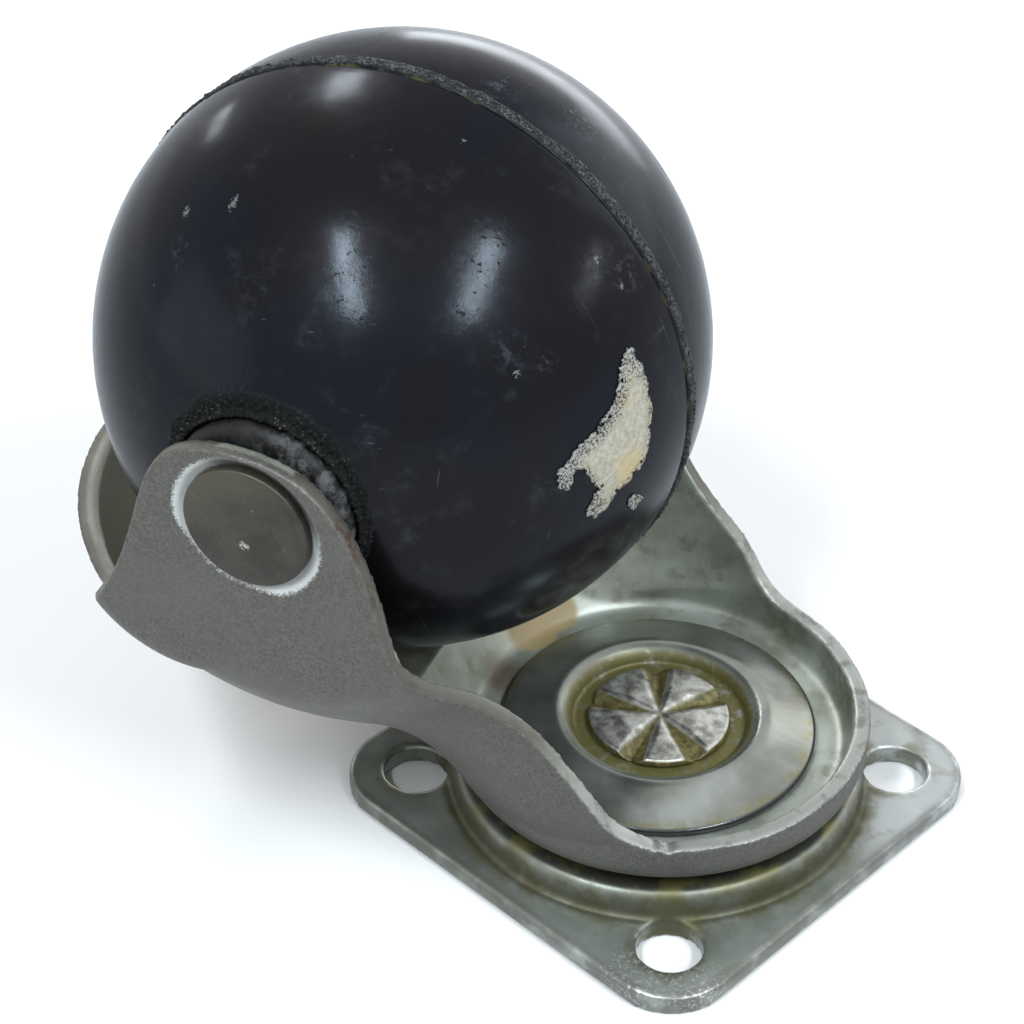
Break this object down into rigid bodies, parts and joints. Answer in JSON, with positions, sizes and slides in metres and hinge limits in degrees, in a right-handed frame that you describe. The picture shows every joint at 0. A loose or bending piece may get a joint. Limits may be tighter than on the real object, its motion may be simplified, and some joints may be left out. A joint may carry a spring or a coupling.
{
  "type": "ball caster",
  "caption": "Light-duty swivel plate caster with a solid black ball wheel in a hooded pressed-steel fork, standing plate down",
  "frame": {"origin": "centre of the top plate's mounting face, on the kingpin's axis", "axes": "+Z from the mounting face to the ball; X and Y along the plate's sides. At rest the fork trails towards -X and a little to -Y, 200 degrees round from +X"},
  "size_m": [0.0705, 0.0593, 0.0653],
  "materials": {
    "plate_zinc": "satin",
    "pin_zinc": "satin",
    "washer_zinc": "satin",
    "fork_steel": "satin",
    "axle_steel": "satin",
    "sleeve_steel": "satin",
    "ball_black": "gloss",
    "bush_black": "satin",
    "race_balls": "polished"
  },
  "bodies": {
    "base": {"top_plate": "plate_zinc", "kingpin": "pin_zinc", "cup_washer": "washer_zinc"},
    "fork_assembly": {"fork": "fork_steel", "axle_rivet": "axle_steel", "axle_sleeve": "sleeve_steel"},
    "wheel": {"ball_wheel": "ball_black", "hub_bush_near": "bush_black", "hub_bush_far": "bush_black"},
    "upper_ring": {"upper_ball_1": "race_balls", "upper_ball_2": "race_balls", "upper_ball_3": "race_balls", "upper_ball_4": "race_balls", "upper_ball_5": "race_balls", "upper_ball_6": "race_balls", "upper_ball_7": "race_balls", "upper_ball_8": "race_balls", "upper_ball_9": "race_balls", "upper_ball_10": "race_balls", "upper_ball_11": "race_balls", "upper_ball_12": "race_balls", "upper_ball_13": "race_balls", "upper_ball_14": "race_balls", "upper_ball_15": "race_balls", "upper_ball_16": "race_balls"},
    "lower_ring": {"lower_ball_1": "race_balls", "lower_ball_2": "race_balls", "lower_ball_3": "race_balls", "lower_ball_4": "race_balls", "lower_ball_5": "race_balls", "lower_ball_6": "race_balls", "lower_ball_7": "race_balls", "lower_ball_8": "race_balls", "lower_ball_9": "race_balls", "lower_ball_10": "race_balls", "lower_ball_11": "race_balls", "lower_ball_12": "race_balls", "lower_ball_13": "race_balls", "lower_ball_14": "race_balls", "lower_ball_15": "race_balls", "lower_ball_16": "race_balls"}
  },
  "joints": [
    {"name": "swivel", "type": "hinge", "parent": "base", "child": "fork_assembly", "pos_m": [0, 0, 0], "axis": [0, 0, 1], "continuous": true},
    {"name": "wheel_spin", "type": "hinge", "parent": "fork_assembly", "child": "wheel", "pos_m": [-0.02246, -0.00817, 0.04], "axis": [0.342, -0.9397, 0], "continuous": true},
    {"name": "upper_roll", "type": "hinge", "parent": "base", "child": "upper_ring", "pos_m": [0, 0, 0], "axis": [0, 0, 1], "continuous": true},
    {"name": "lower_roll", "type": "hinge", "parent": "base", "child": "lower_ring", "pos_m": [0, 0, 0], "axis": [0, 0, 1], "continuous": true}
  ],
  "couplings": [
    {"joint": "upper_roll", "follows": "swivel", "ratio": 0.5},
    {"joint": "lower_roll", "follows": "swivel", "ratio": 0.5}
  ]
}
